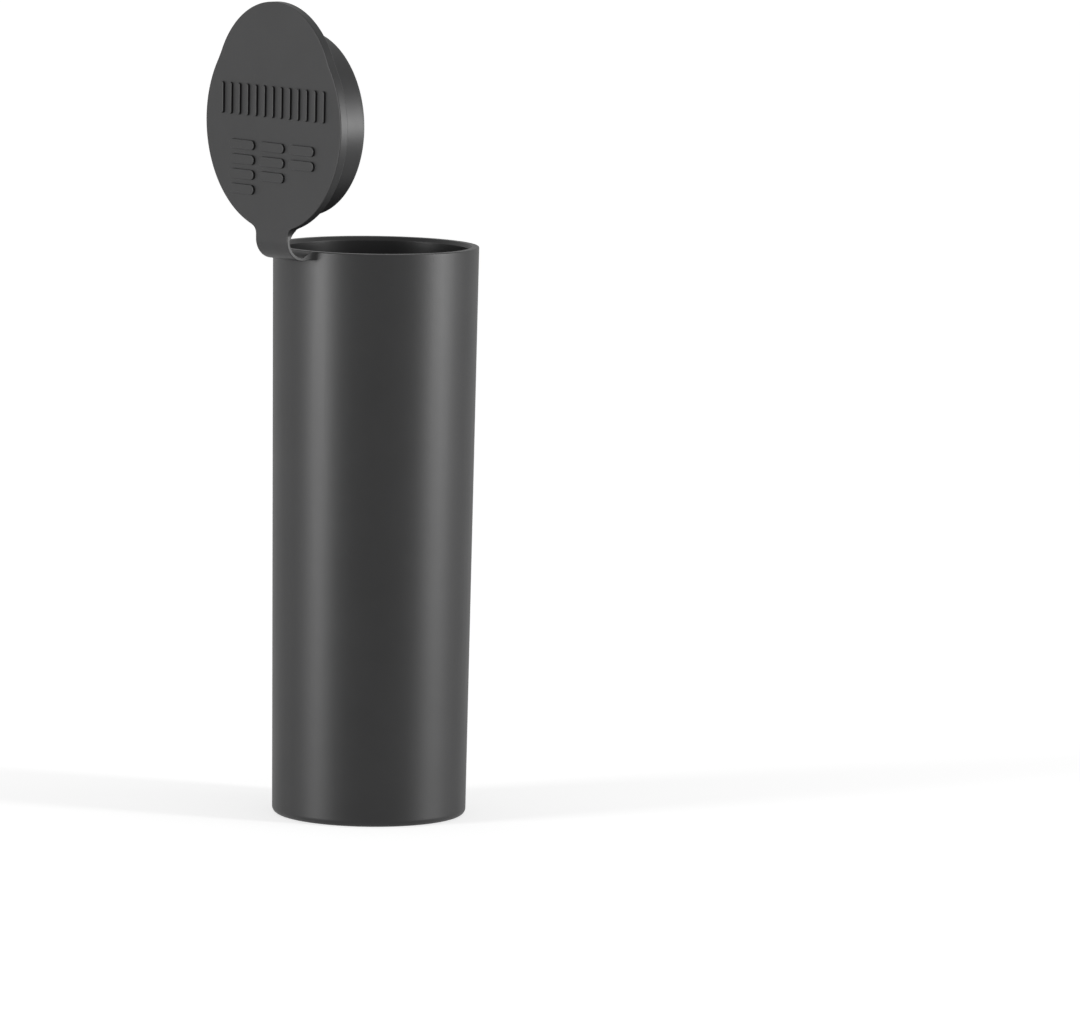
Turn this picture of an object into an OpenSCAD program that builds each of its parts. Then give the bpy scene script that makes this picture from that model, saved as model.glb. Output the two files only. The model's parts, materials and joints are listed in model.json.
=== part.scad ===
// Coin tube with a strap-hinged push-in lid, moulded in one plastic, shown with its lid open.
// The tube stands on its base. Z runs up its axis, and the hinge is on the -X side.

/* [Coins] */
// Diameter of one coin
coin_d = 24.26; // [22:0.01:30]
// Thickness of one coin
coin_t = 1.75; // [1.2:0.01:2.8]
// Number of coins in a full tube
coin_count = 40; // [20:1:60]
// Free play of a coin across the bore, on the diameter
coin_play = 0.54; // [0.3:0.02:0.9]
// Free height over the top coin when the lid is shut
head_room = 0.4; // [0.1:0.05:3]

/* [Tube] */
// Thickness of the wall at the rim
rim_wall = 1.25; // [0.9:0.05:2]
// Thickness of the wall at the base, where the outside tapers in
base_wall = 0.5; // [0.4:0.05:0.9]
// Thickness of the floor
floor_t = 1.2; // [0.9:0.05:3]
// Radius of the rounded edge round the base
base_round = 0.8; // [0.2:0.05:0.85]
// Radius of the rounded outer edge of the rim
rim_round = 0.15; // [0.05:0.05:0.3]
// Width of the bevel that leads into the bore
lead_in_w = 0.28; // [0.1:0.02:0.5]
// Depth of the bevel that leads into the bore
lead_in_depth = 0.5; // [0.2:0.05:1]

/* [Lid] */
// Thickness of the lid plate
lid_t = 1.19; // [0.9:0.01:2]
// Overhang of the lid plate past the rim
lid_overhang = 0.42; // [0.2:0.02:0.8]
// Radius of the round thumb tab
tab_r = 12.18; // [11:0.02:12.5]
// Distance that the thumb tab stands out past the lid plate
tab_out = 1.93; // [1.2:0.01:2.6]
// Radius of the hollow blend from the lid plate to the tab
tab_blend = 18.6; // [14:0.1:26]
// Length of the thumb tab, from its root to its tip
tab_len = 4.6; // [3:0.1:5.5]
// Depth of the plug under the lid plate
plug_depth = 4.36; // [3:0.02:6]
// Radial clearance of the plug in the bore
plug_gap = 0.35; // [0.33:0.01:0.5]
// Thickness of the plug's ring
plug_wall = 1.2; // [0.8:0.05:2]
// Length of the tapered nose at the plug's mouth
plug_nose = 0.6; // [0.4:0.05:1.2]
// Amount that the nose tapers in
plug_taper = 0.2; // [0.15:0.01:0.4]
// Gap under the lid plate when the lid is shut
seat_gap = 0.05; // [0.03:0.01:0.1]

/* [Strap hinge] */
// Width of the strap
strap_w = 6.6; // [4:0.1:9]
// Thickness of the strap
strap_t = 0.45; // [0.35:0.01:0.6]
// Depth of the strap's root under the rim
root_drop = 0.83; // [0.7:0.01:1.4]
// Distance of the strap's first bend from the tube
root_stand = 0.5; // [0.4:0.02:1]
// Radius of the fillets where the root meets the tube
root_round = 1.1; // [0.6:0.05:1.15]
// Depth of the root's upper edge under the rim
root_top = 0.12; // [0.06:0.01:0.3]
// Width of the root's upper edge, before it slopes down to the strap
root_flat = 0.1; // [0.06:0.01:0.3]
// Radius of the fillets where the strap meets the lid plate
neck_round = 1.2; // [0.6:0.05:1.5]
// Gap at each bend of the strap
bend_gap = 0.02; // [0.01:0.01:0.04]
// Bend between two strap links with the lid upright, in degrees
upright_bend = 17; // [16:0.1:18]
// Bend between two strap links with the lid shut, in degrees
shut_bend = 36.1; // [34:0.1:38]

/* [Raised marks] */
// Height of the marks over the lid plate
mark_h = 0.3; // [0.1:0.05:0.6]
// Width of one slab in the coin mark
slab_w = 5.2; // [3:0.1:6]
// Thickness of one slab in the coin mark
slab_t = 1.3; // [0.8:0.05:1.6]
// Distance between slabs, centre to centre
slab_pitch = 1.95; // [1.7:0.05:2.2]
// Distance between stacks of slabs, centre to centre
stack_pitch = 6.2; // [6.05:0.05:6.5]
// Distance of the lowest slab from the middle of the lid
mark_start = 3.05; // [2.6:0.05:3.6]
// Width of one grip rib
rib_w = 0.7; // [0.4:0.05:1]
// Length of one grip rib
rib_len = 4.2; // [2:0.1:5]
// Distance between grip ribs, centre to centre
rib_pitch = 1.75; // [1.2:0.05:1.8]
// Distance of the rib row from the middle of the lid
rib_row = 2.9; // [2.2:0.1:4]

/* [Hidden] */
$fn = 128;
// Dark grey plastic
plastic = [0.23, 0.23, 0.24];
// Overrun of every cut past the face that it cuts
over = 0.5;
// Number of short lines in each quarter of a rounded edge
round_steps = 6;

// Tube
bore_r = (coin_d + coin_play) / 2;
rim_r = bore_r + rim_wall;
base_r = bore_r + base_wall;
tube_h = floor_t + coin_count * coin_t + head_room + plug_depth;

// Lid, in its own plane: its middle is the origin and the hinge lies towards -X
lid_r = rim_r + lid_overhang;
plug_r = bore_r - plug_gap;
tab_mid = lid_r + tab_out - tab_r;
tab_root = lid_r + tab_out - tab_len;
blend_x = ((lid_r + tab_blend) ^ 2 - (tab_r + tab_blend) ^ 2 + tab_mid ^ 2) / (2 * tab_mid);
blend_y = sqrt((lid_r + tab_blend) ^ 2 - blend_x ^ 2);

// Strap: a chain of equal links from the root to the lid. Its places are (distance out from the
// rim's outer face, height over the rim), and its angles turn from straight out up over the tube.
link_count = 6;
upright_root_bend = link_count * upright_bend - 90;
shut_rise = root_drop + seat_gap + lid_t - strap_t / 2;
shut_slope = 180 - shut_bend * (link_count + 1) / 2;
shut_chord = shut_rise / sin(shut_slope);
link_len = shut_chord * sin(shut_bend / 2) / sin(link_count * shut_bend / 2);
link_start = strap_t / 2 + bend_gap;
// Length of the rigid arm from the last bend to the middle of the lid
lid_arm = rim_r + root_stand + shut_chord * cos(shut_slope);

// Angle round the fillets at both ends of the strap at which they stop, where they have run thin
flare_end = 45;

// Slabs in each stack of the coin mark
stack_counts = [2, 3, 4];
rib_count = 13;

// Outer radius of the tapered tube at a height
function outer_r(z) = base_r + (rim_r - base_r) * z / tube_h;

// Points round an arc, from one angle to another
function arc_points(mid, r, from, to) =
    [for (i = [0 : round_steps]) let (a = from + (to - from) * i / round_steps)
        mid + r * [cos(a), sin(a)]];

// Direction of a strap link, and the place of a bend, with the lid upright
function link_angle(i) = upright_bend * i - upright_root_bend;
function bend_place(i) = i == 0
    ? [root_stand, -root_drop]
    : bend_place(i - 1) + link_len * [cos(link_angle(i - 1)), sin(link_angle(i - 1))];

lid_bend = bend_place(link_count);

// Moves a lid shape from its own plane to its upright place: outer face towards -X
module upright_lid() {
    translate([-rim_r - lid_bend.x - strap_t / 2, 0, tube_h + lid_bend.y + lid_arm])
        rotate([0, -90, 0])
            children();
}

// Draws a strap shape as wide as the strap, from its side view
module across_strap() {
    translate([-rim_r, 0, tube_h])
        mirror([1, 0, 0])
            rotate([90, 0, 0])
                linear_extrude(strap_w, center = true)
                    children();
}

// Solid inside the tapered outer face of the tube
module tube_outside() {
    rotate_extrude()
        polygon([[0, 0], [base_r, 0], [rim_r, tube_h], [0, tube_h]]);
}

module tube_base() {
    base_mid = [outer_r(base_round) - base_round, base_round];
    color(plastic)
        rotate_extrude()
            polygon(concat(
                [[0, 0]],
                arc_points(base_mid, base_round, -90, 0),
                [[outer_r(floor_t), floor_t], [0, floor_t]]));
}

module tube_wall() {
    rim_mid = [outer_r(tube_h - rim_round) - rim_round, tube_h - rim_round];
    color(plastic)
        rotate_extrude()
            polygon(concat(
                [[bore_r, floor_t], [outer_r(floor_t), floor_t]],
                arc_points(rim_mid, rim_round, 0, 90),
                [[bore_r + lead_in_w, tube_h], [bore_r, tube_h - lead_in_depth]]));
}

// Outline of an end of the strap, from past its tip on the -X side to the middle of the round
// that it runs into, with a hollow fillet on each side where it meets that round
module flared_strip(tip, round_r, fillet) {
    side = strap_w / 2 + fillet;
    mid = sqrt((round_r + fillet) ^ 2 - side ^ 2);
    flare = arc_points([-mid, -side], fillet, 90, flare_end);
    polygon(concat(
        [[-tip - over, -strap_w / 2]],
        flare,
        [[0, 0]],
        [for (i = [round_steps : -1 : 0]) [flare[i].x, -flare[i].y]],
        [[-tip - over, strap_w / 2]]));
}

// Short ledge on the tube that carries the strap, level below and sloping up to the rim on top
module hinge_root() {
    low = -root_drop - strap_t / 2;
    reach = rim_r + root_stand;
    color(plastic)
        difference() {
            union() {
                across_strap()
                    translate(bend_place(0))
                        circle(strap_t / 2);
                intersection() {
                    translate([0, 0, tube_h + low])
                        linear_extrude(-low)
                            flared_strip(reach, rim_r, root_round);
                    translate([0, 0, tube_h])
                        rotate([90, 0, 0])
                            linear_extrude(2 * lid_r, center = true)
                                polygon([
                                    [-reach, low],
                                    [0, low],
                                    [0, -root_top],
                                    [-rim_r - root_flat, -root_top],
                                    [-reach, low + strap_t]]);
                }
            }
            tube_outside();
        }
}

module strap_link(i) {
    color(plastic)
        across_strap()
            translate(bend_place(i - 1))
                rotate(link_angle(i - 1)) {
                    translate([link_start, -strap_t / 2])
                        square([link_len - link_start, strap_t]);
                    translate([link_len, 0])
                        circle(strap_t / 2);
                }
}

// Plate from the last bend to the lid plate, whose back slopes from the strap's thickness up to
// the plate's
module hinge_neck() {
    reach = lid_arm - link_start;
    color(plastic)
        upright_lid()
            intersection() {
                translate([0, 0, -lid_t])
                    linear_extrude(lid_t)
                        difference() {
                            flared_strip(reach, lid_r, neck_round);
                            circle(lid_r);
                        }
                rotate([90, 0, 0])
                    linear_extrude(2 * lid_r, center = true)
                        polygon([[-reach, 0], [0, 0], [0, -lid_t], [-lid_r, -lid_t], [-reach, -strap_t]]);
            }
}

// Outline of the lid plate with its thumb tab
module lid_outline() {
    circle(lid_r);
    translate([tab_mid, 0])
        circle(tab_r);
    difference() {
        polygon([[0, 0], [blend_x, -blend_y], [tab_mid, 0], [blend_x, blend_y]]);
        for (side = [-1, 1])
            translate([blend_x, side * blend_y])
                circle(tab_blend);
    }
}

module lid_plate() {
    color(plastic)
        upright_lid()
            translate([0, 0, -lid_t])
                linear_extrude(lid_t)
                    difference() {
                        lid_outline();
                        translate([tab_root, -lid_r - over])
                            square([tab_len + over, 2 * (lid_r + over)]);
                    }
}

module thumb_tab() {
    color(plastic)
        upright_lid()
            translate([0, 0, -lid_t])
                linear_extrude(lid_t)
                    intersection() {
                        lid_outline();
                        translate([tab_root, -lid_r - over])
                            square([tab_len + over, 2 * (lid_r + over)]);
                    }
}

// Ring under the lid plate that pushes into the bore
module plug_skirt() {
    mouth = -lid_t - plug_depth;
    color(plastic)
        upright_lid()
            rotate_extrude()
                polygon([
                    [plug_r - plug_wall, -lid_t],
                    [plug_r, -lid_t],
                    [plug_r, mouth + plug_nose],
                    [plug_r - plug_taper, mouth],
                    [plug_r - plug_wall, mouth]]);
}

// Bar with round ends, centred, lying along Y
module round_bar(len, w) {
    translate([-w / 2, -(len - w) / 2])
        square([w, len - w]);
    for (side = [-1, 1])
        translate([0, side * (len - w) / 2])
            circle(w / 2);
}

// Three rising stacks of coins seen from the side
module coin_mark() {
    color(plastic)
        upright_lid()
            linear_extrude(mark_h)
                for (stack = [0 : len(stack_counts) - 1], slab = [0 : stack_counts[stack] - 1])
                    translate([-mark_start - slab * slab_pitch,
                            (stack - (len(stack_counts) - 1) / 2) * stack_pitch])
                        round_bar(slab_w, slab_t);
}

// Row of upright ribs for the thumb
module grip_ribs() {
    color(plastic)
        upright_lid()
            linear_extrude(mark_h)
                for (rib = [0 : rib_count - 1])
                    translate([rib_row, (rib - (rib_count - 1) / 2) * rib_pitch])
                        rotate(90)
                            round_bar(rib_len, rib_w);
}

tube_base();
tube_wall();
hinge_root();
strap_link(1);  // strap_link_1
strap_link(2);  // strap_link_2
strap_link(3);  // strap_link_3
strap_link(4);  // strap_link_4
strap_link(5);  // strap_link_5
strap_link(6);  // strap_link_6
hinge_neck();
lid_plate();
thumb_tab();
plug_skirt();
coin_mark();
grip_ribs();
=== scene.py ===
"""Coin tube with a push-in lid on a strap hinge, dressed and lit for a plain studio view.

Every piece is a numpy surface on a grid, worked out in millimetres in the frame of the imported
model, and built in metres. The tube stands on the floor at z = 0 with its axis up, and the hinge
is on its -X side. The lid's own plane has its middle as origin, the thumb tab towards +X, and its
outer face towards +Z.
"""

import json
import logging
import math
from dataclasses import dataclass
from enum import Enum

import bpy
import numpy as np
from mathutils import Matrix, Vector
from numpy.typing import NDArray


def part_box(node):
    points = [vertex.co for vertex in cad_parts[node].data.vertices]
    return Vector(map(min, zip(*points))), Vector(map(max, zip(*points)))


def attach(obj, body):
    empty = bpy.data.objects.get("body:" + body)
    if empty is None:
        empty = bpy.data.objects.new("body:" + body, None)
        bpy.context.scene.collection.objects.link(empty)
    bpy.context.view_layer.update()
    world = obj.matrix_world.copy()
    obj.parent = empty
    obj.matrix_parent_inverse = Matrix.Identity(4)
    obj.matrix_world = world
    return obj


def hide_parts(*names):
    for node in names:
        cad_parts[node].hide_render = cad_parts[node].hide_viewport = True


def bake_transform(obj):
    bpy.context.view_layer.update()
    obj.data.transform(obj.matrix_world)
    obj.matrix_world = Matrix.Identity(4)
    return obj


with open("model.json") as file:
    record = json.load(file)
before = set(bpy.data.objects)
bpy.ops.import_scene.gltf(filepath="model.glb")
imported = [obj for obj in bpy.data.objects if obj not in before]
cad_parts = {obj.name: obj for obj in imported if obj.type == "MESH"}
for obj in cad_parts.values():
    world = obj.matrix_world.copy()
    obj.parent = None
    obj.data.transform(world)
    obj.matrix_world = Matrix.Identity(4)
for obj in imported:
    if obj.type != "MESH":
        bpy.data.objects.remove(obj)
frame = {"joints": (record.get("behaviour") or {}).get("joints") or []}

Array = NDArray[np.float64]
Corners = NDArray[np.int64]
Tree = bpy.types.NodeTree
Socket = bpy.types.NodeSocket
Material = bpy.types.Material
Piece = bpy.types.Object
Colour = tuple[float, float, float]
Span = tuple[float, float]

MM = 0.001
EDGE_WEAR = "edge_wear"

log = logging.getLogger("coin_tube")


class Ends(Enum):
    """How the first and last row of a grid surface close."""

    POLE = "pole"
    CAP = "cap"


# Curves and profiles

def turned(vectors: Array, angles: Array) -> Array:
    """Turns each flat vector by its angle.

    Args:
        vectors: Flat vectors, shape (..., 2).
        angles: Angles in radians, shape (...).

    Returns:
        The turned vectors: (x cos a - y sin a, x sin a + y cos a).
    """
    cos, sin = np.cos(angles), np.sin(angles)
    x, y = vectors[..., 0], vectors[..., 1]
    return np.stack([x * cos - y * sin, x * sin + y * cos], axis=-1)


def rounded_line(corners: Array, radii: Array, steps: int, hold: float) -> tuple[Array, Array]:
    """Rounds the corners of a straight-sided line, and keeps its straights flat.

    Each inner corner becomes an arc of its radius that touches both straights: the arc's middle
    lies on the corner's bisector at radius / cos(turn / 2), and the arc starts at
    radius * tan(turn / 2) from the corner. A point a little before and after each arc holds the
    shading of the straights.

    Args:
        corners: The line's points, shape (K, 2).
        radii: A radius for each inner corner, shape (K - 2,).
        steps: Short lines in each arc.
        hold: Distance of the holding points from the arc.

    Returns:
        The rounded line's points, and the wear at each, 1 at the middle of an outer corner.
    """
    inner = corners[1:-1]
    before = inner - corners[:-2]
    after = corners[2:] - inner
    before /= np.linalg.norm(before, axis=1, keepdims=True)
    after /= np.linalg.norm(after, axis=1, keepdims=True)
    turn = np.arctan2(
        before[:, 0] * after[:, 1] - before[:, 1] * after[:, 0],
        np.sum(before * after, axis=1),
    )
    bisector = after - before
    bisector /= np.linalg.norm(bisector, axis=1, keepdims=True)
    reach = radii * np.tan(np.abs(turn) / 2)
    middle = inner + bisector * (radii / np.cos(turn / 2))[:, None]
    start = inner - before * reach[:, None]
    share = np.linspace(0, 1, steps + 1)
    arcs = middle[:, None] + turned(
        np.repeat((start - middle)[:, None], steps + 1, axis=1), turn[:, None] * share
    )
    lead = start - before * hold
    trail = inner + after * (reach + hold)[:, None]
    points = np.concatenate([lead[:, None], arcs, trail[:, None]], axis=1)
    convex = np.sign(turn) == np.sign(turn.sum())
    wear = np.zeros(points.shape[:2])
    wear[:, 1:-1] = np.sin(np.pi * share) * convex[:, None]
    line = np.concatenate([corners[:1], points.reshape(-1, 2), corners[-1:]])
    return line, np.concatenate([[0.0], wear.ravel(), [0.0]])


@dataclass(frozen=True)
class StripSection:
    """Cross-section of a flat strip with rounded long edges, as a closed loop of points.

    Attributes:
        edge_round: Radius of the four long edges.
        hold: Distance from each edge of the point that holds the shading of the flats.
        steps: Short lines in each edge.
        between: Points across each wide face.
    """

    edge_round: float = 0.08
    hold: float = 0.05
    steps: int = 5
    between: int = 15

    def loop(self) -> tuple[Array, Array, Array, Array, Array]:
        """Works out the loop as shares and small offsets, so that one loop fits any size.

        A point lies at (side * half_width + across, face * half_thickness + through). The four
        corners are quarter circles, and a row of points crosses each wide face between them.

        Returns:
            side, across, face, through and wear, each of shape (points,).
        """
        side = np.array([1.0, -1.0, -1.0, 1.0])[:, None]
        face = np.array([1.0, 1.0, -1.0, -1.0])[:, None]
        share = np.linspace(0, 1, self.steps + 1)
        angle = (np.arange(4)[:, None] + share) * math.pi / 2
        across = self.edge_round * (np.cos(angle) - side)
        through = self.edge_round * (np.sin(angle) - face)
        far = -(self.edge_round + self.hold)
        first = np.array([0.0, far, 0.0, far])[:, None]
        last = np.array([far, 0.0, far, 0.0])[:, None]
        none = np.zeros((4, 1))
        corners = np.stack([
            np.repeat(side, self.steps + 3, axis=1),
            np.concatenate([first * side, across, last * side], axis=1),
            np.repeat(face, self.steps + 3, axis=1),
            np.concatenate([last * face, through, first * face], axis=1),
            np.concatenate([none, np.sin(np.pi * share) + none, none], axis=1),
        ])
        cross = np.linspace(1, -1, self.between + 2)[1:-1]
        level = np.ones(self.between)
        crossing = np.stack([cross, far * cross, level, 0 * level, 0 * level])
        returning = crossing * np.array([-1.0, -1.0, -1.0, 1.0, 1.0])[:, None]
        loop = [corners[:, 0], crossing, corners[:, 1], corners[:, 2], returning, corners[:, 3]]
        side, across, face, through, wear = np.concatenate(loop, axis=1)
        return side, across, face, through, wear


@dataclass(frozen=True)
class FlaredEnd:
    """End of the strap in plan, with a hollow fillet on each side where it meets a round body.

    Attributes:
        half_width: Half of the strap's width.
        tip: Distance of the strip's free end from the round body's axis.
        radius: Radius of the round body.
        fillet: Radius of the fillets.
        sink: Depth by which the strip's end runs into the round body.
    """

    half_width: float
    tip: float
    radius: float
    fillet: float
    sink: float = 0.0

    def plan(self, side: Array, across: Array, rows: int) -> tuple[Array, Array]:
        """Carries a section from the tip to the round body, which lies towards +X.

        The fillet's middle lies half_width + fillet from the strip's middle line and radius +
        fillet from the axis. The half width at x is that distance less
        sqrt(fillet^2 - (x - middle)^2), and the last row follows the round body.

        Args:
            side: The section's shares of the half width, shape (points,).
            across: The section's own offsets, shape (points,).
            rows: Number of rows.

        Returns:
            x and y of every point, each of shape (rows, points).
        """
        middle_y = self.half_width + self.fillet
        middle_x = -math.sqrt((self.radius + self.fillet) ** 2 - middle_y**2)
        touch_x = middle_x * self.radius / (self.radius + self.fillet)
        share = np.linspace(0, 1, rows)[:, None]
        past = np.clip(-self.tip + (touch_x + self.tip) * share - middle_x, 0, self.fillet)
        y = side * (middle_y - np.sqrt(self.fillet**2 - past**2)) + across
        end_x = -np.sqrt((self.radius - self.sink) ** 2 - y[-1] ** 2)
        return -self.tip + (end_x + self.tip) * share, y


# Meshes

def grid_faces(rows: int, columns: int, ends: Ends) -> list[Corners]:
    """Lists the faces of a grid whose columns wrap round.

    Args:
        rows: Number of full rows.
        columns: Points in a row.
        ends: POLE closes each end with a fan to a point kept after the rows, CAP with one face.

    Returns:
        Two blocks of faces, the grid's own and those of its ends, one face a row.
    """
    row = np.arange(rows - 1)[:, None] * columns
    here = np.arange(columns)[None]
    there = (here + 1) % columns
    quads = np.stack(
        [row + here, row + there, row + columns + there, row + columns + here], axis=-1
    )
    around = np.arange(columns)
    last = around + (rows - 1) * columns
    if ends is Ends.CAP:
        closing = np.stack([around[::-1], last])
    else:
        pole = np.full(columns, rows * columns)
        first_fan = np.stack([pole, np.roll(around, -1), around], axis=-1)
        last_fan = np.stack([pole + 1, last, np.roll(last, -1)], axis=-1)
        closing = np.concatenate([first_fan, last_fan])
    return [quads.reshape(-1, 4), closing]


def enclosed_volume(points: Array, blocks: list[Corners]) -> float:
    """Measures a closed surface's signed volume.

    Args:
        points: The surface's points, shape (P, 3).
        blocks: Its blocks of faces.

    Returns:
        The sum of first . (second x third) / 6 over the triangles that fan out from each
        face's first corner; below 0 means inside out.
    """
    total = 0.0
    for block in blocks:
        first = points[block[:, :1]]
        crossed = np.cross(points[block[:, 1:-1]], points[block[:, 2:]])
        total += float(np.sum(first * crossed) / 6)
    return total


@dataclass
class GridSurface:
    """A closed surface worked out on a grid, in millimetres.

    Attributes:
        points: Places of the grid's points, shape (rows, columns, 3).
        wear: Wear at each point, shape (rows, columns).
        ends: How the first and last row close. For POLE, they are each one point repeated.
        crease: Angle in degrees above which an edge shades sharp.
    """

    points: Array
    wear: Array
    ends: Ends = Ends.POLE
    crease: float = 40.0

    def flattened(self) -> tuple[Array, Array, list[Corners]]:
        """Turns the grid into points, wear and faces, with each pole as one point.

        Returns:
            Points of shape (P, 3), wear of shape (P,), and blocks of faces, pointing outwards.
        """
        points, wear = self.points, self.wear
        if self.ends is Ends.POLE:
            points, wear = points[1:-1], wear[1:-1]
        rows, columns = points.shape[:2]
        blocks = grid_faces(rows, columns, self.ends)
        flat = points.reshape(-1, 3)
        worn = wear.ravel()
        if self.ends is Ends.POLE:
            flat = np.concatenate([flat, self.points[[0, -1], 0]])
            worn = np.concatenate([worn, [0.0, 0.0]])
        if enclosed_volume(flat, blocks) < 0:
            blocks = [block[:, ::-1] for block in blocks]
        return flat, worn, blocks

    def build(self, name: str, copies: Array | None = None) -> Piece:
        """Makes the surface a smooth-shaded mesh object, in metres.

        Args:
            name: The object's name.
            copies: Shifts of the surface's copies, shape (C, 3), or None for the one surface.

        Returns:
            The new object, linked to the scene.
        """
        flat, worn, blocks = self.flattened()
        if copies is not None:
            step = (np.arange(len(copies)) * len(flat))[:, None, None]
            blocks = [(block[None] + step).reshape(-1, block.shape[1]) for block in blocks]
            flat = (flat[None] + copies[:, None]).reshape(-1, 3)
            worn = np.tile(worn, len(copies))
        mesh = bpy.data.meshes.new(name)
        mesh.from_pydata((flat * MM).tolist(), [], blocks[0].tolist() + blocks[1].tolist())
        mesh.polygons.foreach_set("use_smooth", np.ones(len(mesh.polygons), bool))
        mesh.set_sharp_from_angle(angle=math.radians(self.crease))
        layer = mesh.attributes.new(EDGE_WEAR, "FLOAT", "POINT")
        layer.data.foreach_set("value", worn.astype(np.float32))
        mesh.update()
        piece = bpy.data.objects.new(name, mesh)
        bpy.context.scene.collection.objects.link(piece)
        return piece


def lathe(profile: Array, wear: Array, columns: int) -> GridSurface:
    """Turns a profile about the Z axis.

    Args:
        profile: (radius, height) points from pole to pole, shape (rows, 2).
        wear: Wear along the profile, shape (rows,).
        columns: Points round the axis.

    Returns:
        The surface (radius cos a, radius sin a, height) for every angle a.
    """
    angle = np.arange(columns) * 2 * math.pi / columns
    radius, height = profile[:, :1], profile[:, 1:]
    points = np.stack(
        [radius * np.cos(angle), radius * np.sin(angle), height + 0 * angle], axis=-1
    )
    return GridSurface(points, np.repeat(wear[:, None], columns, axis=1))


# Finishes

def computed(
    tree: Tree, operation: str, first: Socket, second: Socket | float, clamp: bool = False,
) -> Socket:
    """Adds a math node.

    Args:
        tree: The node tree to add it to.
        operation: What it does with its two values, such as MULTIPLY.
        first: First value.
        second: Second value, a socket or a constant.
        clamp: True to hold the result between 0 and 1.

    Returns:
        The result's socket.
    """
    node = tree.nodes.new("ShaderNodeMath")
    node.operation = operation
    node.use_clamp = clamp
    tree.links.new(first, node.inputs[0])
    if isinstance(second, float):
        node.inputs[1].default_value = second
    else:
        tree.links.new(second, node.inputs[1])
    return node.outputs["Value"]


def ranged(tree: Tree, value: Socket, result: Span, source: Span = (0.0, 1.0)) -> Socket:
    """Stretches a value from one range to another, and holds it at the ends.

    Args:
        tree: The node tree to add it to.
        value: The value.
        result: The results at the source range's two ends.
        source: The range of the value.

    Returns:
        The stretched value's socket.
    """
    node = tree.nodes.new("ShaderNodeMapRange")
    node.inputs["From Min"].default_value = source[0]
    node.inputs["From Max"].default_value = source[1]
    node.inputs["To Min"].default_value = result[0]
    node.inputs["To Max"].default_value = result[1]
    tree.links.new(value, node.inputs["Value"])
    return node.outputs["Result"]


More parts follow.
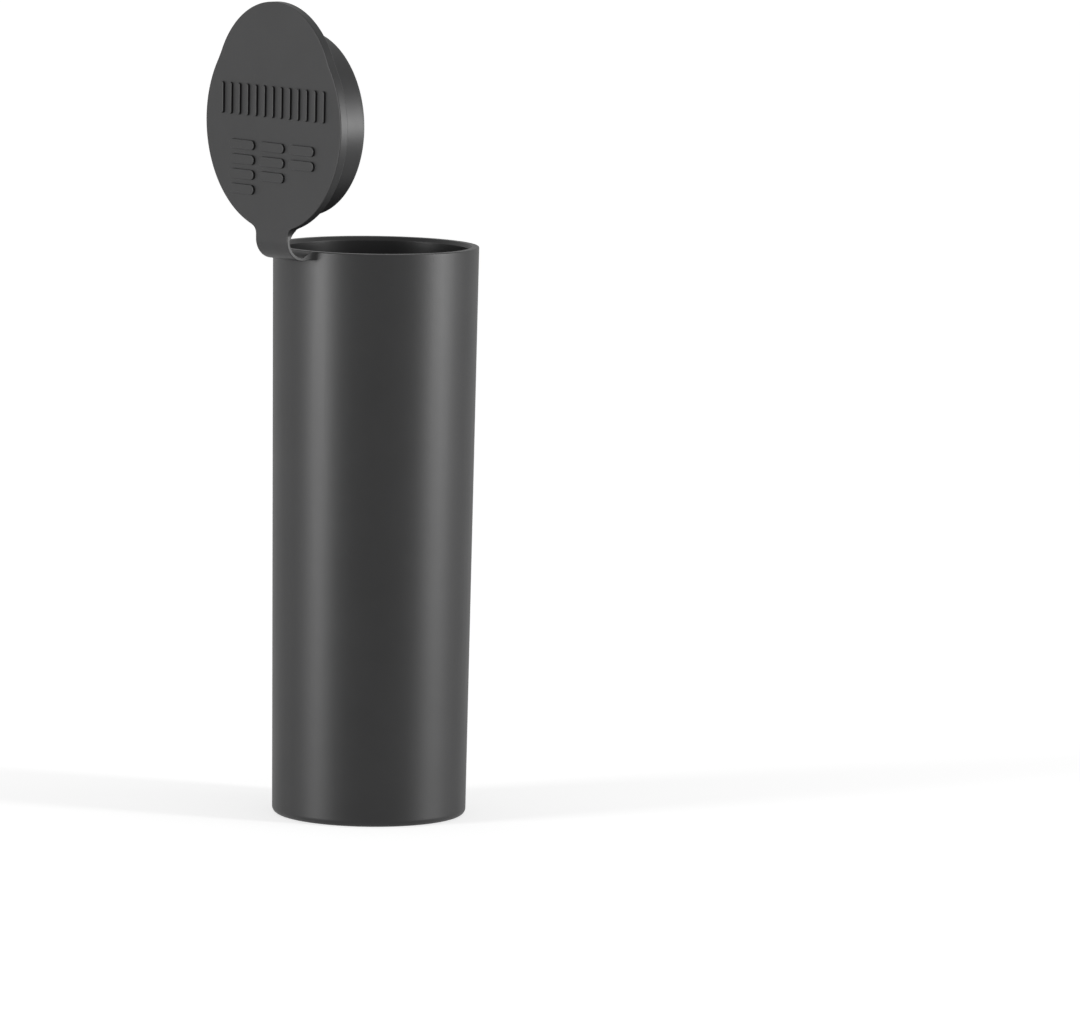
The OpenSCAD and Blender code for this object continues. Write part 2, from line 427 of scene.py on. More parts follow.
@dataclass(frozen=True)
class MouldedPlastic:
    """Satin dark grey moulded plastic, with a fine etched grain and faint wear on its edges.

    Attributes:
        name: The material's name.
        shade: Colour of the plastic, linear.
        cloud_shade: Colour of the slightly paler clouds in it.
        worn_shade: Colour of its rubbed edges.
        roughness: Roughness range, from the smoothest patches to the dullest.
        specular: Specular level of the shader, facing the viewer and at the very outline, where
            an etched surface hides part of its own gloss.
        fade: Turn away from the viewer, 0 to 1, at which the gloss starts to fade and ends.
        rubbed: Least and greatest share of the rubbed colour on a worn edge.
        noise_range: Range in which most of a noise's values lie.
        clouds_per_metre: Frequency of the clouds.
        ripple_per_metre: Frequency of the surface's slight unevenness.
        ripple_depth: Depth of the unevenness in metres.
        grain_per_metre: Frequency of the etched grain.
        grain_depth: Depth of the grain in metres.
        draw_per_metre: Frequency of the faint draw lines.
        draw_depth: Depth of the draw lines in metres.
        draw_scale: Stretch of the draw lines along X, Y and Z.
    """

    name: str = "satin_grey_plastic"
    shade: Colour = (0.0115, 0.0115, 0.0118)
    cloud_shade: Colour = (0.0140, 0.0140, 0.0144)
    worn_shade: Colour = (0.028, 0.028, 0.0286)
    roughness: Span = (0.415, 0.435)
    specular: Span = (0.29, 0.03)
    fade: Span = (0.45, 1.0)
    rubbed: Span = (0.25, 0.9)
    noise_range: Span = (0.3, 0.7)
    clouds_per_metre: float = 140.0
    ripple_per_metre: float = 420.0
    ripple_depth: float = 0.000006
    grain_per_metre: float = 5200.0
    grain_depth: float = 0.000004
    draw_per_metre: float = 1600.0
    draw_depth: float = 0.0000008
    draw_scale: tuple[float, float, float] = (1.0, 1.0, 0.03)

    def noise(self, tree: Tree, place: Socket, scale: float, detail: float) -> Socket:
        """Adds a noise pattern.

        Args:
            tree: The material's node tree.
            place: The coordinates that it reads.
            scale: Its frequency per metre.
            detail: Its number of finer layers.

        Returns:
            The noise's value socket.
        """
        node = tree.nodes.new("ShaderNodeTexNoise")
        node.inputs["Scale"].default_value = scale
        node.inputs["Detail"].default_value = detail
        tree.links.new(place, node.inputs["Vector"])
        return node.outputs["Fac"]

    def mixed(self, tree: Tree, share: Socket, first: Socket | tuple, second: tuple) -> Socket:
        """Mixes two colours.

        Args:
            tree: The material's node tree.
            share: Share of the second colour, 0 to 1.
            first: First colour, a socket or a constant.
            second: Second colour.

        Returns:
            The mixed colour's socket.
        """
        node = tree.nodes.new("ShaderNodeMix")
        node.data_type = "RGBA"
        tree.links.new(share, node.inputs["Factor"])
        if isinstance(first, tuple):
            node.inputs["A"].default_value = (*first, 1.0)
        else:
            tree.links.new(first, node.inputs["A"])
        node.inputs["B"].default_value = (*second, 1.0)
        return node.outputs["Result"]

    def bumped(self, tree: Tree, height: Socket, depth: float, under: Socket | None) -> Socket:
        """Adds a layer of relief.

        Args:
            tree: The material's node tree.
            height: The relief's height, 0 to 1.
            depth: Its depth in metres.
            under: The normal of the layer below it, if there is one.

        Returns:
            The new normal's socket.
        """
        node = tree.nodes.new("ShaderNodeBump")
        node.inputs["Strength"].default_value = 1.0
        node.inputs["Distance"].default_value = depth
        tree.links.new(height, node.inputs["Height"])
        if under is not None:
            tree.links.new(under, node.inputs["Normal"])
        return node.outputs["Normal"]

    def make(self) -> Material:
        """Builds the material's nodes.

        Returns:
            The new material.
        """
        material = bpy.data.materials.new(self.name)
        material.use_nodes = True
        tree = material.node_tree
        shader = tree.nodes["Principled BSDF"]
        outline = tree.nodes.new("ShaderNodeLayerWeight").outputs["Facing"]
        gloss = ranged(tree, outline, self.specular, self.fade)
        tree.links.new(gloss, shader.inputs["Specular IOR Level"])
        place = tree.nodes.new("ShaderNodeTexCoord").outputs["Object"]
        stretch = tree.nodes.new("ShaderNodeMapping")
        stretch.inputs["Scale"].default_value = self.draw_scale
        tree.links.new(place, stretch.inputs["Vector"])
        clouds = self.noise(tree, place, self.clouds_per_metre, 3.0)
        grain = self.noise(tree, place, self.grain_per_metre, 2.0)
        ripple = self.noise(tree, place, self.ripple_per_metre, 1.0)
        draw_lines = self.noise(tree, stretch.outputs["Vector"], self.draw_per_metre, 2.0)
        wear = tree.nodes.new("ShaderNodeAttribute")
        wear.attribute_name = EDGE_WEAR
        rubbed = ranged(tree, clouds, self.rubbed, self.noise_range)
        patchy = computed(tree, "MULTIPLY", wear.outputs["Fac"], rubbed)
        cloud_share = ranged(tree, clouds, (0.0, 1.0), self.noise_range)
        cloudy = self.mixed(tree, cloud_share, self.shade, self.cloud_shade)
        colour = self.mixed(tree, patchy, cloudy, self.worn_shade)
        tree.links.new(colour, shader.inputs["Base Color"])
        dull = ranged(tree, draw_lines, self.roughness, self.noise_range)
        tree.links.new(dull, shader.inputs["Roughness"])
        normal = self.bumped(tree, ripple, self.ripple_depth, None)
        normal = self.bumped(tree, draw_lines, self.draw_depth, normal)
        normal = self.bumped(tree, grain, self.grain_depth, normal)
        tree.links.new(normal, shader.inputs["Normal"])
        return material


@dataclass(frozen=True)
class PaleFloor:
    """Plain pale floor that shows white to the camera and keeps the object's shadow.

    Attributes:
        name: The material's name.
        shade: Its own colour, linear.
        lift: Light added for camera, glossy and transmission rays, at the object and far off,
            so that the floor is an even white though the lamps' own light on it falls off.
        reach: Distance in metres over which the lift rises.
        easing: Power of the distance's share by which it rises.
        roughness: Roughness of the floor.
    """

    name: str = "pale_floor"
    shade: Colour = (0.55, 0.55, 0.55)
    lift: Span = (0.615, 0.80)
    reach: float = 1.6
    easing: float = 0.65
    roughness: float = 0.9

    def make(self) -> Material:
        """Builds the floor's nodes: its diffuse light plus the lift for the rays that see it.

        Returns:
            The new material.
        """
        material = bpy.data.materials.new(self.name)
        material.use_nodes = True
        tree = material.node_tree
        shader = tree.nodes["Principled BSDF"]
        shader.inputs["Base Color"].default_value = (*self.shade, 1.0)
        shader.inputs["Roughness"].default_value = self.roughness
        shader.inputs["Specular IOR Level"].default_value = 0.0
        place = tree.nodes.new("ShaderNodeTexCoord").outputs["Object"]
        distance = tree.nodes.new("ShaderNodeVectorMath")
        distance.operation = "LENGTH"
        tree.links.new(place, distance.inputs[0])
        share = computed(tree, "DIVIDE", distance.outputs["Value"], self.reach, clamp=True)
        eased = computed(tree, "POWER", share, self.easing)
        level = ranged(tree, eased, self.lift)
        glow = tree.nodes.new("ShaderNodeEmission")
        strength = computed(tree, "MULTIPLY", seen_rays(tree), level)
        tree.links.new(strength, glow.inputs["Strength"])
        both = tree.nodes.new("ShaderNodeAddShader")
        tree.links.new(shader.outputs["BSDF"], both.inputs[0])
        tree.links.new(glow.outputs["Emission"], both.inputs[1])
        tree.links.new(both.outputs["Shader"], tree.nodes["Material Output"].inputs["Surface"])
        return material


def seen_rays(tree: Tree) -> Socket:
    """Adds a value that is 1 for camera, glossy and transmission rays, and 0 for the others.

    Args:
        tree: The node tree to add it to.

    Returns:
        The value's socket.
    """
    path = tree.nodes.new("ShaderNodeLightPath")
    seen = path.outputs["Is Camera Ray"]
    for name in ("Is Glossy Ray", "Is Transmission Ray"):
        seen = computed(tree, "MAXIMUM", seen, path.outputs[name])
    return seen


def finished(piece: Piece, finish: Material, *nodes: str) -> Piece:
    """Gives a piece its material, and hides the CAD nodes that it stands for.

    Args:
        piece: The piece.
        finish: Its material.
        nodes: Names of the CAD nodes that it replaces.

    Returns:
        The piece.
    """
    piece.data.materials.append(finish)
    if nodes:
        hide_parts(*nodes)
    log.info("%s: %d faces", piece.name, len(piece.data.polygons))
    return piece


# The object's parts

@dataclass
class CoinTube:
    """The tapered tube with its floor, bore and bevelled rim. Sizes are in millimetres.

    The lead-in is the bevel inside the mouth, and the gate is the shallow recess under the base
    with a slope round it. The points that hold the shading lie hold from each rounded corner.
    """

    rim_radius: float = 13.649
    base_radius: float = 12.9
    height: float = 75.96
    bore_radius: float = 12.4
    floor: float = 1.2
    base_round: float = 0.8
    rim_round: float = 0.15
    lead_in_width: float = 0.28
    lead_in_depth: float = 0.5
    lead_in_rounds: Span = (0.07, 0.2)
    floor_round: float = 0.6
    gate_radius: float = 2.2
    gate_depth: float = 0.25
    gate_slope: float = 0.2
    gate_round: float = 0.1
    arc_steps: int = 8
    hold: float = 0.08
    columns: int = 320

    def build(self, finish: Material) -> Piece:
        """Turns the tube's profile, from the gate mark under its base to its floor inside.

        Args:
            finish: Material of the tube.

        Returns:
            The tube, which rides on the CAD tube.
        """
        corners = np.array([
            [0.0, self.gate_depth],
            [self.gate_radius, self.gate_depth],
            [self.gate_radius + self.gate_slope, 0.0],
            [self.base_radius, 0.0],
            [self.rim_radius, self.height],
            [self.bore_radius + self.lead_in_width, self.height],
            [self.bore_radius, self.height - self.lead_in_depth],
            [self.bore_radius, self.floor],
            [0.0, self.floor],
        ])
        radii = np.array([
            self.gate_round, self.gate_round, self.base_round, self.rim_round,
            *self.lead_in_rounds, self.floor_round,
        ])
        profile, wear = rounded_line(corners, radii, self.arc_steps, self.hold)
        piece = lathe(profile, wear, self.columns).build("tube_shell")
        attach(piece, "tube")
        return finished(piece, finish, "tube_base", "tube_wall")


@dataclass
class StrapHinge:
    """The strap that joins tube and lid, and the ledge that it grows from. Millimetres.

    The root is the ledge, sunk a little into the wall, whose top slopes down from slope_start to
    slope_end outside the rim. root_lead runs from the first bend to the ledge, and neck_lead
    from the last bend to the neck.
    """

    width: float = 6.6
    thickness: float = 0.45
    rim_radius: float = 13.65
    rim_height: float = 75.96
    root_fillet: float = 1.1
    root_top: float = 0.07
    root_sink: float = 0.06
    root_lead: float = 0.2
    neck_lead: float = 0.374
    slope_start: float = 0.2
    slope_end: float = 1.5
    slope_power: float = 1.1
    wear_fade: float = 0.6
    section: StripSection = StripSection()
    ledge_rows: int = 24
    rows: int = 16

    def places(self) -> Array:
        """Places of the strap's bends as (x, z), from the CAD joints, shape (7, 2)."""
        return np.array([[joint["pos_m"][0], joint["pos_m"][2]] for joint in frame["joints"]]) / MM

    def slope(self, x: Array) -> Array:
        """Extra thickness of the strap's inner face near the tube.

        Args:
            x: Places along X, at rest.

        Returns:
            The full rise to the rim at the tube, and down from slope_start to slope_end
            outside the rim as rise * (1 - share)^slope_power.
        """
        rise = self.rim_height - self.root_top - self.places()[0, 1] - self.thickness / 2
        share = (-x - self.rim_radius - self.slope_start) / (self.slope_end - self.slope_start)
        return rise * (1 - np.clip(share, 0, 1)) ** self.slope_power

    def build_root(self, finish: Material) -> Piece:
        """Builds the ledge on the tube.

        The strip's section runs along X into the wall, and flares as a FlaredEnd. Its lower
        face is level with the strap's, and its upper face rises to the rim.

        Args:
            finish: Material of the ledge.

        Returns:
            The ledge, which rides on the CAD tube.
        """
        root = self.places()[0]
        side, across, face, through, worn = self.section.loop()
        tip = -root[0] - self.root_lead
        end = FlaredEnd(self.width / 2, tip, self.rim_radius, self.root_fillet, self.root_sink)
        x, y = end.plan(side, across, self.ledge_rows)
        thick = self.thickness / 2 + np.where(face > 0, self.slope(x), 0.0)
        points = np.stack([x, y, root[1] + face * thick + through], axis=-1)
        wear = worn * np.clip((np.hypot(x, y) - self.rim_radius) / self.wear_fade, 0, 1)
        piece = GridSurface(points, wear, Ends.CAP).build("hinge_ledge")
        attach(piece, "tube")
        return finished(piece, finish, "hinge_root")

    def build_bends(self, finish: Material) -> list[Piece]:
        """Builds the strap as one smooth strip, in a piece for each bend.

        Each piece runs from the middle of one link to the middle of the next along the curve
        (1 - t)^2 start + 2 t (1 - t) bend + t^2 end, which leaves both links straight on, and
        carries the strip's section square to it, thicker inside near the tube.

        Args:
            finish: Material of the strap.

        Returns:
            The seven pieces of the strap, from the tube to the lid.
        """
        bends = self.places()
        halves = (bends[:-1] + bends[1:]) / 2
        root = bends[:1] + np.array([[self.root_lead, 0.0]])
        neck = bends[-1:] + np.array([[0.0, self.neck_lead]])
        starts = np.concatenate([root, halves])
        ends = np.concatenate([halves, neck])
        side, across, face, through, worn = self.section.loop()
        t = np.linspace(0, 1, self.rows + 1)[:, None]
        pieces = []
        for number, joint in enumerate(frame["joints"]):
            start, bend, end = starts[number], bends[number], ends[number]
            line = (1 - t) ** 2 * start + 2 * t * (1 - t) * bend + t**2 * end
            along = 2 * (1 - t) * (bend - start) + 2 * t * (end - bend)
            along /= np.linalg.norm(along, axis=1, keepdims=True)
            normal = np.stack([-along[:, 1], along[:, 0]], axis=-1)
            thick = self.thickness / 2 + np.where(face < 0, self.slope(line[:, :1]), 0.0)
            height = face * thick + through
            x = line[:, :1] + normal[:, :1] * height
            z = line[:, 1:] + normal[:, 1:] * height
            y = side * self.width / 2 + across + 0 * x
            surface = GridSurface(np.stack([x, y, z], axis=-1), worn + 0 * x, Ends.CAP)
            piece = surface.build(f"strap_bend_{number + 1}")
            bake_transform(piece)
            links = [f"strap_link_{number}"] if number else []
            pieces.append(finished(piece, finish, *links))
        return pieces


@dataclass
class PushInLid:
    """The lid plate with its thumb tab, its plug, and the neck to the strap. Millimetres.

    The tab's round end is tab_middle from the lid's middle, and blend_radius is the hollow arc
    between tab and disc. The plate's edges are sharper where the neck joins. The plug's profile
    starts plug_lead outside it, has the radii plug_rounds from the plate's back to the hollow,
    and ends in a tapered nose. The neck reaches out to neck_end, and thins from slope_start on.
    inner_wear is the share of the full wear that the inner side's edges get.
    """

    radius: float = 14.068
    thickness: float = 1.19
    tab_radius: float = 12.18
    tab_middle: float = 3.82
    blend_radius: float = 18.6
    face_round: float = 0.12
    back_round: float = 0.1
    joined_round: float = 0.004
    hold: float = 0.1
    face_rings: tuple[float, ...] = (0.0, 0.3, 0.6, 0.85)
    plug_radius: float = 12.19
    plug_wall: float = 1.2
    plug_depth: float = 4.36
    nose: float = 0.4
    nose_taper: float = 0.03
    plug_lead: float = 0.9
    plug_rounds: tuple[float, ...] = (0.25, 1.0, 0.1, 0.25, 0.4)
    plug_hold: float = 0.07
    neck_width: float = 6.6
    neck_thickness: float = 0.45
    neck_fillet: float = 1.2
    neck_end: float = 15.134
    slope_start: float = 13.85
    section: StripSection = StripSection()
    neck_rows: int = 26
    inner_wear: float = 0.6
    arc_steps: int = 6
    columns: int = 480

    def placed(self, points: Array) -> Array:
        """Moves points from the lid's own plane to its upright place on the CAD model.

        Args:
            points: Points in the lid's plane, shape (..., 3).

        Returns:
            (outer face - z, y, lid middle + x), in the frame of the model.
        """
        plate_low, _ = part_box("lid_plate")
        plug_low, plug_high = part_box("plug_skirt")
        face_x = plate_low.x / MM
        middle_z = (plug_low.z + plug_high.z) / 2 / MM
        x, y, z = np.moveaxis(points, -1, 0)
        return np.stack([face_x - z, y, middle_z + x], axis=-1)

    def outline(self, angle: Array) -> tuple[Array, Array]:
        """Works out the plate's outline with its tab, seen from the lid's middle.

        The outline is the disc, the tab's round end, or the hollow arc that touches both,
        each as the place where the ray at an angle meets its circle.

        Args:
            angle: Angles from the tab's direction, shape (columns,).

        Returns:
            The outline's points and its outward normals, each of shape (columns, 2).
        """
        ray = np.stack([np.cos(angle), np.sin(angle)], axis=-1)
        disc_reach = self.radius + self.blend_radius
        tab_reach = self.tab_radius + self.blend_radius
        hollow_x = (disc_reach**2 - tab_reach**2 + self.tab_middle**2) / (2 * self.tab_middle)
        hollow_y = math.sqrt(disc_reach**2 - hollow_x**2)
        hollow_mid = np.stack([hollow_x + 0 * angle, hollow_y * np.sign(angle)], axis=-1)
        tab_mid = np.array([self.tab_middle, 0.0])
        turn = np.abs(angle)
        disc_touch = math.atan2(hollow_y, hollow_x)
        to_hollow = np.array([hollow_x, hollow_y]) - tab_mid
        touch_point = tab_mid + to_hollow * self.tab_radius / tab_reach
        tab_touch = math.atan2(touch_point[1], touch_point[0])
        under_tab_root = self.tab_radius**2 - (self.tab_middle * np.sin(angle)) ** 2
        on_tab = ray @ tab_mid + np.sqrt(under_tab_root)
        along = np.sum(ray * hollow_mid, axis=-1)
        under_root = along**2 - disc_reach**2 + self.blend_radius**2
        on_hollow = along - np.sqrt(np.maximum(under_root, 0))
        reach = np.select([turn < tab_touch, turn < disc_touch], [on_tab, on_hollow], self.radius)
        points = ray * reach[:, None]
        normal = np.select(
            [(turn < tab_touch)[:, None], (turn < disc_touch)[:, None]],
            [(points - tab_mid) / self.tab_radius, (hollow_mid - points) / self.blend_radius],
            ray,
        )
        return points, normal

    def build_shell(self, finish: Material) -> Piece:
        """Builds plate, tab and plug as one shell.

        The edge's profile is carried round the outline, square to it, and the plug's profile is
        turned about the lid's middle. Where the neck joins, the plate's edges stay sharp.

        Args:
            finish: Material of the lid.

        Returns:
            The shell, which rides on the CAD lid.
        """
        angle = (np.arange(self.columns) + 0.5) * 2 * math.pi / self.columns - math.pi
        edge, normal = self.outline(angle)
        neck_y = self.neck_width / 2 + self.neck_fillet
        neck_span = math.asin(neck_y / (self.radius + self.neck_fillet))
        free = np.abs(angle) < math.pi - neck_span
        share = np.linspace(0, math.pi / 2, self.arc_steps + 1)[:, None]
        face_round = np.where(free, self.face_round, self.joined_round)
        back = np.where(free, self.back_round, self.joined_round)
        inset = np.concatenate([
            face_round + self.hold + 0 * share[:1],
            face_round * (1 - np.sin(share)),
            0 * face_round[None],
            0 * face_round[None],
            back * (1 - np.cos(share)),
            back[None] + self.hold,
        ])
        height = np.concatenate([
            0 * face_round[None],
            face_round * (np.cos(share) - 1),
            -face_round[None] - self.hold,
            back[None] + self.hold - self.thickness,
            back * (1 - np.sin(share)) - self.thickness,
            0 * back[None] - self.thickness,
        ])
        rim = edge[None] - normal[None] * inset[..., None]
        rim = np.concatenate([rim, height[..., None]], axis=-1)
        rubbed = np.sin(2 * share[:, 0])
        rim_wear = np.concatenate([[0], rubbed, [0], [0], rubbed * self.inner_wear, [0]])[:, None]
        rim_wear = rim_wear * np.where(free, 1.0, 0.0)
        scale = np.array(self.face_rings)[:, None, None]
        level = 0 * scale + 0 * rim[:1, :, :1]
        face = np.concatenate([rim[0][None, :, :2] * scale, level], axis=-1)
        back_face = -self.thickness
        mouth = back_face - self.plug_depth
        inside = self.plug_radius - self.plug_wall
        corners = np.array([
            [self.plug_radius + self.plug_lead, back_face],
            [self.plug_radius, back_face],
            [self.plug_radius, mouth + self.nose],
            [self.plug_radius - self.nose_taper, mouth],
            [inside, mouth],
            [inside, back_face],
            [0.0, back_face],
        ])
        radii = np.array(self.plug_rounds)
        profile, plug_wear = rounded_line(corners, radii, self.arc_steps, self.plug_hold)
        radius, depth = profile[1:, :1], profile[1:, 1:]
        plug = np.stack(
            [radius * np.cos(angle), radius * np.sin(angle), depth + 0 * angle], axis=-1
        )
        points = self.placed(np.concatenate([face, rim, plug]))
        plug_wear = plug_wear[1:, None] * self.inner_wear + 0 * angle
        wear = np.concatenate([np.zeros(face.shape[:2]), rim_wear, plug_wear])
        piece = GridSurface(points, wear).build("lid_shell")
        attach(piece, "lid")
        return finished(piece, finish, "lid_plate", "thumb_tab", "plug_skirt")

    def build_neck(self, finish: Material) -> Piece:
        """Builds the neck between strap and plate.

        The strip's section runs from the strap to the plate's edge, and flares as a FlaredEnd.
        Its outer face stays level with the plate's, and its back slopes evenly from the
        plate's thickness down to the strap's.

        Args:
            finish: Material of the neck.

        Returns:
            The neck, which rides on the CAD lid.
        """
        side, across, face, through, worn = self.section.loop()
        end = FlaredEnd(self.neck_width / 2, self.neck_end, self.radius, self.neck_fillet)
        x, y = end.plan(side, across, self.neck_rows)
        share = np.clip((-x - self.slope_start) / (self.neck_end - self.slope_start), 0, 1)
        back = -self.thickness + (self.thickness - self.neck_thickness) * share
        z = np.where(face > 0, 0.0, back) + through
        wear = worn * np.where(face > 0, 1.0, self.inner_wear) + 0 * x
        points = self.placed(np.stack([x, y, z], axis=-1))
        piece = GridSurface(points, wear, Ends.CAP).build("lid_neck")
        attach(piece, "lid")
        return finished(piece, finish, "hinge_neck")


@dataclass
class RaisedMarks:
    """The raised coin stacks and the row of grip ribs on the lid's outer face. Millimetres.

    A bar's foot is sunk below the face. Its sides are upright at first, and then lean in by
    draft to the rounded upper edge. A pitch is the step from one bar or stack to the next.
    """

    lid: PushInLid
    height: float = 0.3
    sunk: float = 0.1
    slab_length: float = 5.2
    slab_width: float = 1.3
    slab_pitch: float = 1.95
    stacks: tuple[int, ...] = (2, 3, 4)
    stack_pitch: float = 6.2
    first_slab: float = 3.05
    rib_length: float = 4.2
    rib_width: float = 0.7
    rib_pitch: float = 1.75
    rib_row: float = 2.9
    rib_count: int = 13
    edge_round: float = 0.08
    hold: float = 0.06
    upright: float = 0.05
    draft: float = 0.012
    arc_steps: int = 5
    columns: int = 36

    def bar(self, length: float, width: float, lengthwise: bool) -> GridSurface:
        """Builds one raised bar with round ends and softened upper edges.

        The bar's outline is two half circles of half the width, whose middles are
        length - width apart. Its section steps in and up along a small quarter circle.

        Args:
            length: The bar's length.
            width: Its width.
            lengthwise: True for a bar along the lid's X, False for one along its Y.

        Returns:
            The bar, about the lid's middle, in the lid's own plane.
        """
        angle = (np.arange(self.columns) + 0.5) * 2 * math.pi / self.columns
        share = np.linspace(0, math.pi / 2, self.arc_steps + 1)
        soft = self.edge_round
        inset = np.concatenate([
            [width / 2, 0.0, 0.0], self.draft + soft * (1 - np.cos(share)), [soft + self.hold],
        ])
        height = np.concatenate([
            [-self.sunk, -self.sunk, self.upright],
            self.height - soft * (1 - np.sin(share)), [self.height],
        ])
        radius = (width / 2 - inset)[:, None]
        shift = np.sign(np.sin(angle)) * (length - width) / 2
        shift = np.where(np.arange(len(inset))[:, None] == 0, 0.0, shift)
        across, along = radius * np.cos(angle), radius * np.sin(angle) + shift
        level = height[:, None] + 0 * angle
        x, y = (along, across) if lengthwise else (across, along)
        rows = np.stack([x, y, level], axis=-1)
        rows = np.concatenate([rows, [np.tile([0.0, 0.0, self.height], (self.columns, 1))]])
        worn = np.concatenate([np.zeros(3), np.sin(2 * share), np.zeros(2)])
        return GridSurface(rows, np.repeat(worn[:, None], self.columns, axis=1))

    def raised(
        self, name: str, bar: GridSurface, copies: Array, finish: Material, node: str
    ) -> Piece:
        """Sets copies of a bar on the lid's outer face.

        Args:
            name: The piece's name.
            bar: One bar, in the lid's own plane.
            copies: Places of the bars in the lid's plane, shape (C, 3).
            finish: Material of the bars.
            node: The CAD node that they stand for.

        Returns:
            The piece, which rides on the CAD lid.
        """
        origin = self.lid.placed(np.zeros(3))
        bar.points = self.lid.placed(bar.points)
        piece = bar.build(name, self.lid.placed(copies) - origin)
        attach(piece, "lid")
        return finished(piece, finish, node)

    def build_coin_stacks(self, finish: Material) -> Piece:
        """Builds the rising stacks of slabs, side by side.

        Args:
            finish: Material of the slabs.

        Returns:
            The stacks.
        """
        stack = np.repeat(np.arange(len(self.stacks)), self.stacks)
        slab = np.concatenate([np.arange(count) for count in self.stacks])
        x = -self.first_slab - slab * self.slab_pitch
        y = (stack - (len(self.stacks) - 1) / 2) * self.stack_pitch
        copies = np.stack([x, y, 0.0 * x], axis=-1)
        bar = self.bar(self.slab_length, self.slab_width, lengthwise=False)
        return self.raised("coin_stacks", bar, copies, finish, "coin_mark")

    def build_grip_ribs(self, finish: Material) -> Piece:
        """Builds the row of ribs under the thumb.

        Args:
            finish: Material of the ribs.

        Returns:
            The ribs.
        """
        y = (np.arange(self.rib_count) - (self.rib_count - 1) / 2) * self.rib_pitch
        copies = np.stack([self.rib_row + 0 * y, y, 0 * y], axis=-1)
        bar = self.bar(self.rib_length, self.rib_width, lengthwise=True)
        return self.raised("thumb_ribs", bar, copies, finish, "grip_ribs")


# The studio

@dataclass
class Viewpoint:
    """The camera, placed from where the rim's middle stands in its view.

    Attributes:
        pan: Turn of the view from +Y towards +X, in degrees.
        tilt: Tilt of the view below level, in degrees.
        roll: Roll of the picture, in degrees.
        distance: Distance of the rim's middle along the view, in metres.
        right: Place of the rim's middle to the right of the view's line, in metres.
        above: Place of the rim's middle above the view's line, in metres.
        focal_share: Focal length as a multiple of the picture's width.
        rim_height: Height of the rim over the floor, in metres.
        sensor: Width of the camera's sensor, in millimetres.
        clip: Nearest and farthest distance that it sees, in metres.
    """

    pan: float = 40.68
    tilt: float = 7.13
    roll: float = 0.91
    distance: float = 1.0586
    right: float = -0.02168
    above: float = 0.03566
    focal_share: float = 8000 / 1080
    rim_height: float = 0.07596
    sensor: float = 36.0
    clip: Span = (0.05, 60.0)

    def place(self) -> bpy.types.Object:
        """Makes the scene's camera.

        Returns:
            The camera.
        """
        turn = (
            Matrix.Rotation(math.radians(-self.pan), 4, "Z")
            @ Matrix.Rotation(math.radians(90 - self.tilt), 4, "X")
            @ Matrix.Rotation(math.radians(self.roll), 4, "Z")
        )
        rim = Vector((0.0, 0.0, self.rim_height))
        place = rim - turn.to_3x3() @ Vector((self.right, self.above, -self.distance))
        data = bpy.data.cameras.new("view")
        data.sensor_fit = "HORIZONTAL"
        data.sensor_width = self.sensor
        data.lens = self.sensor * self.focal_share
        data.clip_start, data.clip_end = self.clip
        camera = bpy.data.objects.new("view", data)
        camera.matrix_world = Matrix.Translation(place) @ turn
        bpy.context.scene.collection.objects.link(camera)
        bpy.context.scene.camera = camera
        return camera


@dataclass(frozen=True)
class StripLight:
    """A soft strip light that stands beside the object.

    Attributes:
        name: Its name.
        azimuth: Its direction from the object, in degrees from the camera's, to the right.
        distance: Its distance in metres.
        width: Its width in metres.
        height: Its height in metres.
        middle: Height of its middle over the floor, in metres.
        watts: Its power.
    """

    name: str
    azimuth: float
    distance: float
    width: float
    height: float
    middle: float
    watts: float

    def hang(self, pan: float) -> bpy.types.Object:
        """Makes the light, facing the object.

        Args:
            pan: The camera's pan, in degrees.

        Returns:
            The light.
        """
        data = bpy.data.lights.new(self.name, "AREA")
        data.shape = "RECTANGLE"
        data.size = self.width
        data.size_y = self.height
        data.energy = self.watts
        turn = math.radians(pan - self.azimuth)
        place = Vector((-math.sin(turn), -math.cos(turn), 0.0)) * self.distance
        place.z = self.middle
        aim = Vector((0.0, 0.0, self.middle)) - place
        light = bpy.data.objects.new(self.name, data)
        facing = aim.to_track_quat("-Z", "Y").to_matrix().to_4x4()
        light.matrix_world = Matrix.Translation(place) @ facing
        bpy.context.scene.collection.objects.link(light)
        return light


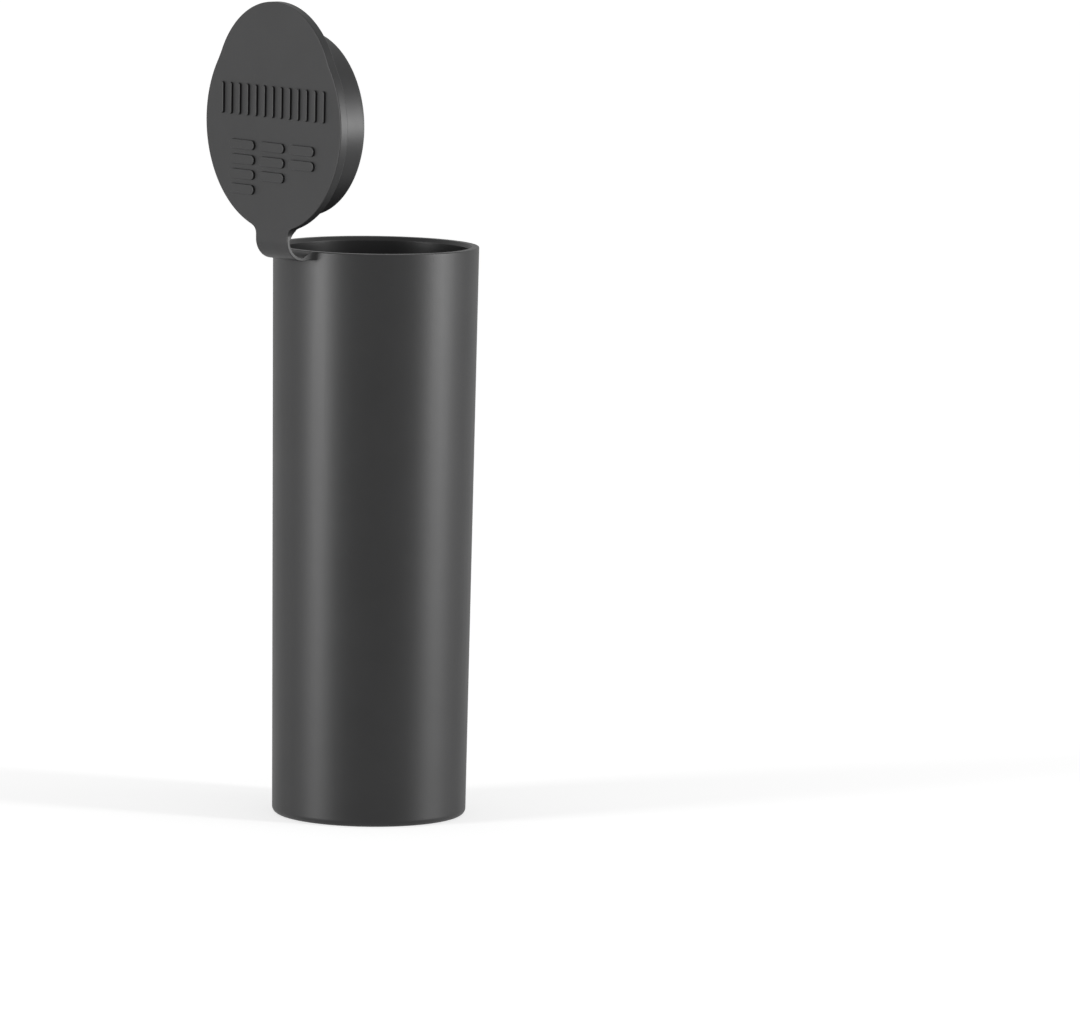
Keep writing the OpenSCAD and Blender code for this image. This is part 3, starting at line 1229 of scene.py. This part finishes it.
@dataclass
class Studio:
    """Plain pale floor, white surroundings and soft strip lights.

    Attributes:
        viewpoint: The camera.
        floor_size, floor_cells: Width of the floor in metres, and faces along each side of it.
        floor_drop: Depth of the floor below z = 0, in metres, so that it doesn't cut the base.
        fill: Strength of the surroundings' own light.
    """

    viewpoint: Viewpoint
    floor_size: float = 16.0
    floor_cells: int = 8
    floor_drop: float = 0.00002
    fill: float = 0.4

    def build_floor(self) -> bpy.types.Object:
        """Builds the floor as a flat grid just below z = 0.

        Returns:
            The floor, which isn't part of the object.
        """
        row = self.floor_cells + 1
        line = np.linspace(-0.5, 0.5, row) * self.floor_size
        x, y = np.meshgrid(line, line, indexing="ij")
        points = np.stack([x, y, 0 * x - self.floor_drop], axis=-1).reshape(-1, 3)
        cell = np.arange(self.floor_cells)
        start = (cell[:, None] * row + cell).ravel()
        faces = np.stack([start, start + row, start + row + 1, start + 1], axis=-1)
        mesh = bpy.data.meshes.new("floor")
        mesh.from_pydata(points.tolist(), [], faces.tolist())
        mesh.materials.append(PaleFloor().make())
        floor = bpy.data.objects.new("floor", mesh)
        bpy.context.scene.collection.objects.link(floor)
        return floor

    def surround(self) -> None:
        """Sets the world: white where it is seen or mirrored, and a soft grey fill as light."""
        world = bpy.data.worlds.new("studio")
        bpy.context.scene.world = world
        world.use_nodes = True
        tree = world.node_tree
        back = tree.nodes["Background"]
        back.inputs["Color"].default_value = (1.0, 1.0, 1.0, 1.0)
        level = ranged(tree, seen_rays(tree), (self.fill, 1.0))
        tree.links.new(level, back.inputs["Strength"])

    def light(self) -> None:
        """Hangs the strip lights on both sides of the view.

        The low ones draw the long highlights down the tube, and leave the top of the shut lid
        without glare. The narrow tall ones above them reach into the bore.
        """
        lights = (
            StripLight("left_low", -62.5, 1.0, 0.28, 0.14, 0.072, 6.8),
            StripLight("left_tall", -62.5, 1.0, 0.2, 0.36, 0.322, 4.2),
            StripLight("right_low", 80.0, 1.0, 0.46, 0.14, 0.072, 6.8),
            StripLight("right_tall", 70.0, 1.0, 0.12, 0.36, 0.322, 5.3),
        )
        for light in lights:
            light.hang(self.viewpoint.pan)

    def build(self) -> None:
        """Builds the whole studio, with the camera first."""
        self.viewpoint.place()
        self.build_floor()
        self.surround()
        self.light()
        bpy.context.scene.view_settings.view_transform = "Standard"


def main() -> None:
    """Builds the studio and every piece of the coin tube, in order."""
    logging.basicConfig(level=logging.INFO, format="%(message)s")
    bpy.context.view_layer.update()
    Studio(Viewpoint()).build()
    finish = MouldedPlastic().make()
    CoinTube().build(finish)
    hinge = StrapHinge()
    hinge.build_root(finish)
    hinge.build_bends(finish)
    lid = PushInLid()
    lid.build_shell(finish)
    lid.build_neck(finish)
    marks = RaisedMarks(lid)
    marks.build_coin_stacks(finish)
    marks.build_grip_ribs(finish)


if __name__ == "__main__":
    main()
